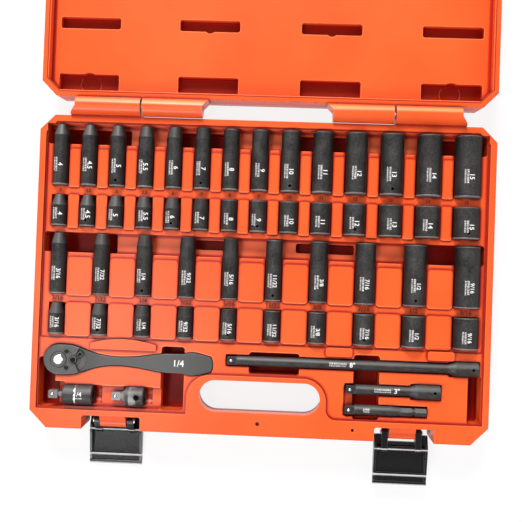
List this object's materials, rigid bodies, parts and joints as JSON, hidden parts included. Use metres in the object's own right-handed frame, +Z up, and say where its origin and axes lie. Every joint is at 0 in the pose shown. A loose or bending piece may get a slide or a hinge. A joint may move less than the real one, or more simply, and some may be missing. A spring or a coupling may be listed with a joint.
{
  "type": "socket wrench set",
  "caption": "Quarter-inch-drive impact socket set lying in an open two-half moulded case with hinge, latches, ratchet, bars and adapters.",
  "frame": {"origin": "centre of the case base's plan on its flat underside", "axes": "+X to the right along the hinge, +Y from the front edge to the hinge, +Z up"},
  "size_m": [0.372, 0.5668, 0.0378],
  "materials": {
    "case_plastic": "orange, fine grain outside and smooth inside",
    "latch_plastic": "black, satin",
    "impact_steel": "black phosphate, satin",
    "ratchet_steel": "dark grey, satin",
    "bright_steel": "bright"
  },
  "bodies": {
    "case_base": {"case_base": "case_plastic", "hinge_pins": "bright_steel", "latch_pins": "bright_steel"},
    "case_lid": {"case_lid": "case_plastic"},
    "latch_link_left": {"latch_link_left": "latch_plastic"},
    "latch_lever_left": {"latch_lever_left": "latch_plastic"},
    "latch_link_right": {"latch_link_right": "latch_plastic"},
    "latch_lever_right": {"latch_lever_right": "latch_plastic"},
    "ratchet": {"ratchet_handle": "ratchet_steel", "ratchet_cover": "ratchet_steel", "ratchet_cover_screws": "bright_steel"},
    "ratchet_gear": {"ratchet_gear": "ratchet_steel"},
    "ratchet_button": {"ratchet_button": "bright_steel"},
    "ratchet_lever": {"ratchet_lever": "ratchet_steel", "ratchet_pawl": "ratchet_steel"},
    "ratchet_ball": {"ratchet_ball": "bright_steel"},
    "extension_8in": {"extension_8in": "impact_steel"},
    "extension_8in_ball": {"extension_8in_ball": "bright_steel"},
    "extension_3in": {"extension_3in": "impact_steel"},
    "extension_3in_ball": {"extension_3in_ball": "bright_steel"},
    "hex_adapter": {"hex_adapter": "impact_steel"},
    "hex_adapter_ball": {"hex_adapter_ball": "bright_steel"},
    "drive_adapter": {"drive_adapter": "impact_steel"},
    "drive_adapter_ball": {"drive_adapter_ball": "bright_steel"},
    "swivel": {"swivel_socket": "impact_steel", "swivel_ring": "impact_steel"},
    "swivel_pin": {"swivel_pin": "impact_steel"},
    "swivel_drive": {"swivel_drive": "impact_steel"},
    "swivel_ball": {"swivel_ball": "bright_steel"},
    "sockets_4mm": {"sockets_4mm": "impact_steel"},
    "sockets_4_5mm": {"sockets_4_5mm": "impact_steel"},
    "sockets_5mm": {"sockets_5mm": "impact_steel"},
    "sockets_5_5mm": {"sockets_5_5mm": "impact_steel"},
    "sockets_6mm": {"sockets_6mm": "impact_steel"},
    "sockets_7mm": {"sockets_7mm": "impact_steel"},
    "sockets_8mm": {"sockets_8mm": "impact_steel"},
    "sockets_9mm": {"sockets_9mm": "impact_steel"},
    "sockets_10mm": {"sockets_10mm": "impact_steel"},
    "sockets_11mm": {"sockets_11mm": "impact_steel"},
    "sockets_12mm": {"sockets_12mm": "impact_steel"},
    "sockets_13mm": {"sockets_13mm": "impact_steel"},
    "sockets_14mm": {"sockets_14mm": "impact_steel"},
    "sockets_15mm": {"sockets_15mm": "impact_steel"},
    "sockets_3_16in": {"sockets_3_16in": "impact_steel"},
    "sockets_7_32in": {"sockets_7_32in": "impact_steel"},
    "sockets_1_4in": {"sockets_1_4in": "impact_steel"},
    "sockets_9_32in": {"sockets_9_32in": "impact_steel"},
    "sockets_5_16in": {"sockets_5_16in": "impact_steel"},
    "sockets_11_32in": {"sockets_11_32in": "impact_steel"},
    "sockets_3_8in": {"sockets_3_8in": "impact_steel"},
    "sockets_7_16in": {"sockets_7_16in": "impact_steel"},
    "sockets_1_2in": {"sockets_1_2in": "impact_steel"},
    "sockets_9_16in": {"sockets_9_16in": "impact_steel"}
  },
  "joints": [
    {"name": "lid_hinge", "type": "hinge", "parent": "case_base", "child": "case_lid", "pos_m": [0, 0.136, 0.03], "axis": [-1, 0, 0], "range_deg": [-180, 0]},
    {"name": "latch_link_left", "type": "hinge", "parent": "case_base", "child": "latch_link_left", "pos_m": [-0.119, -0.123, 0.016], "axis": [1, 0, 0], "range_deg": [-139.1, 0]},
    {"name": "latch_lever_left", "type": "hinge", "parent": "latch_link_left", "child": "latch_lever_left", "pos_m": [-0.119, -0.13184, 0.0058], "axis": [-1, 0, 0], "range_deg": [-49.1, 40.9]},
    {"name": "latch_link_right", "type": "hinge", "parent": "case_base", "child": "latch_link_right", "pos_m": [0.119, -0.123, 0.016], "axis": [1, 0, 0], "range_deg": [-92, 0]},
    {"name": "latch_lever_right", "type": "hinge", "parent": "latch_link_right", "child": "latch_lever_right", "pos_m": [0.119, -0.13649, 0.01553], "axis": [-1, 0, 0], "range_deg": [-2, 88]},
    {"name": "ratchet_lift", "type": "slide", "parent": "case_base", "child": "ratchet", "axis": [0, 0, 1], "range_m": [0, 0.06]},
    {"name": "ratchet_drive", "type": "hinge", "parent": "ratchet", "child": "ratchet_gear", "pos_m": [-0.1635, -0.0722, 0.024], "axis": [0, 0, 1], "continuous": true},
    {"name": "ratchet_reverse", "type": "hinge", "parent": "ratchet", "child": "ratchet_lever", "pos_m": [-0.1516, -0.0722, 0.03], "axis": [0, 0, 1], "range_deg": [-80, 0]},
    {"name": "ratchet_button", "type": "slide", "parent": "ratchet_gear", "child": "ratchet_button", "axis": [0, 0, 1], "range_m": [-0.0016, 0], "stiffness_N_per_m": 400},
    {"name": "swivel_lift", "type": "slide", "parent": "case_base", "child": "swivel", "axis": [0, 0, 1], "range_m": [0, 0.06]},
    {"name": "swivel_swing", "type": "hinge", "parent": "swivel", "child": "swivel_pin", "pos_m": [-0.1535, -0.1006, 0.027], "axis": [0, 0, 1], "range_deg": [-20, 20]},
    {"name": "swivel_tilt", "type": "hinge", "parent": "swivel_pin", "child": "swivel_drive", "pos_m": [-0.1535, -0.1006, 0.027], "axis": [0, 1, 0], "range_deg": [-15, 15]},
    {"name": "extension_8in_lift", "type": "slide", "parent": "case_base", "child": "extension_8in", "axis": [0, 0, 1], "range_m": [0, 0.06]},
    {"name": "extension_3in_lift", "type": "slide", "parent": "case_base", "child": "extension_3in", "axis": [0, 0, 1], "range_m": [0, 0.06]},
    {"name": "hex_adapter_lift", "type": "slide", "parent": "case_base", "child": "hex_adapter", "axis": [0, 0, 1], "range_m": [0, 0.06]},
    {"name": "drive_adapter_lift", "type": "slide", "parent": "case_base", "child": "drive_adapter", "axis": [0, 0, 1], "range_m": [0, 0.06]},
    {"name": "sockets_4mm_lift", "type": "slide", "parent": "case_base", "child": "sockets_4mm", "axis": [0, 0, 1], "range_m": [0, 0.06]},
    {"name": "sockets_4_5mm_lift", "type": "slide", "parent": "case_base", "child": "sockets_4_5mm", "axis": [0, 0, 1], "range_m": [0, 0.06]},
    {"name": "sockets_5mm_lift", "type": "slide", "parent": "case_base", "child": "sockets_5mm", "axis": [0, 0, 1], "range_m": [0, 0.06]},
    {"name": "sockets_5_5mm_lift", "type": "slide", "parent": "case_base", "child": "sockets_5_5mm", "axis": [0, 0, 1], "range_m": [0, 0.06]},
    {"name": "sockets_6mm_lift", "type": "slide", "parent": "case_base", "child": "sockets_6mm", "axis": [0, 0, 1], "range_m": [0, 0.06]},
    {"name": "sockets_7mm_lift", "type": "slide", "parent": "case_base", "child": "sockets_7mm", "axis": [0, 0, 1], "range_m": [0, 0.06]},
    {"name": "sockets_8mm_lift", "type": "slide", "parent": "case_base", "child": "sockets_8mm", "axis": [0, 0, 1], "range_m": [0, 0.06]},
    {"name": "sockets_9mm_lift", "type": "slide", "parent": "case_base", "child": "sockets_9mm", "axis": [0, 0, 1], "range_m": [0, 0.06]},
    {"name": "sockets_10mm_lift", "type": "slide", "parent": "case_base", "child": "sockets_10mm", "axis": [0, 0, 1], "range_m": [0, 0.06]},
    {"name": "sockets_11mm_lift", "type": "slide", "parent": "case_base", "child": "sockets_11mm", "axis": [0, 0, 1], "range_m": [0, 0.06]},
    {"name": "sockets_12mm_lift", "type": "slide", "parent": "case_base", "child": "sockets_12mm", "axis": [0, 0, 1], "range_m": [0, 0.06]},
    {"name": "sockets_13mm_lift", "type": "slide", "parent": "case_base", "child": "sockets_13mm", "axis": [0, 0, 1], "range_m": [0, 0.06]},
    {"name": "sockets_14mm_lift", "type": "slide", "parent": "case_base", "child": "sockets_14mm", "axis": [0, 0, 1], "range_m": [0, 0.06]},
    {"name": "sockets_15mm_lift", "type": "slide", "parent": "case_base", "child": "sockets_15mm", "axis": [0, 0, 1], "range_m": [0, 0.06]},
    {"name": "sockets_3_16in_lift", "type": "slide", "parent": "case_base", "child": "sockets_3_16in", "axis": [0, 0, 1], "range_m": [0, 0.06]},
    {"name": "sockets_7_32in_lift", "type": "slide", "parent": "case_base", "child": "sockets_7_32in", "axis": [0, 0, 1], "range_m": [0, 0.06]},
    {"name": "sockets_1_4in_lift", "type": "slide", "parent": "case_base", "child": "sockets_1_4in", "axis": [0, 0, 1], "range_m": [0, 0.06]},
    {"name": "sockets_9_32in_lift", "type": "slide", "parent": "case_base", "child": "sockets_9_32in", "axis": [0, 0, 1], "range_m": [0, 0.06]},
    {"name": "sockets_5_16in_lift", "type": "slide", "parent": "case_base", "child": "sockets_5_16in", "axis": [0, 0, 1], "range_m": [0, 0.06]},
    {"name": "sockets_11_32in_lift", "type": "slide", "parent": "case_base", "child": "sockets_11_32in", "axis": [0, 0, 1], "range_m": [0, 0.06]},
    {"name": "sockets_3_8in_lift", "type": "slide", "parent": "case_base", "child": "sockets_3_8in", "axis": [0, 0, 1], "range_m": [0, 0.06]},
    {"name": "sockets_7_16in_lift", "type": "slide", "parent": "case_base", "child": "sockets_7_16in", "axis": [0, 0, 1], "range_m": [0, 0.06]},
    {"name": "sockets_1_2in_lift", "type": "slide", "parent": "case_base", "child": "sockets_1_2in", "axis": [0, 0, 1], "range_m": [0, 0.06]},
    {"name": "sockets_9_16in_lift", "type": "slide", "parent": "case_base", "child": "sockets_9_16in", "axis": [0, 0, 1], "range_m": [0, 0.06]},
    {"name": "ratchet_ball", "type": "slide", "parent": "ratchet_gear", "child": "ratchet_ball", "axis": [1, 0, 0], "range_m": [-0.0008, 0], "stiffness_N_per_m": 300},
    {"name": "extension_8in_ball", "type": "slide", "parent": "extension_8in", "child": "extension_8in_ball", "axis": [0, 0, 1], "range_m": [-0.0008, 0], "stiffness_N_per_m": 300},
    {"name": "extension_3in_ball", "type": "slide", "parent": "extension_3in", "child": "extension_3in_ball", "axis": [0, 0, 1], "range_m": [-0.0008, 0], "stiffness_N_per_m": 300},
    {"name": "hex_adapter_ball", "type": "slide", "parent": "hex_adapter", "child": "hex_adapter_ball", "axis": [0, 0, 1], "range_m": [-0.0008, 0], "stiffness_N_per_m": 300},
    {"name": "drive_adapter_ball", "type": "slide", "parent": "drive_adapter", "child": "drive_adapter_ball", "axis": [0, 0, 1], "range_m": [-0.0008, 0], "stiffness_N_per_m": 300},
    {"name": "swivel_ball", "type": "slide", "parent": "swivel_drive", "child": "swivel_ball", "axis": [0, 0, 1], "range_m": [-0.0008, 0], "stiffness_N_per_m": 300}
  ]
}
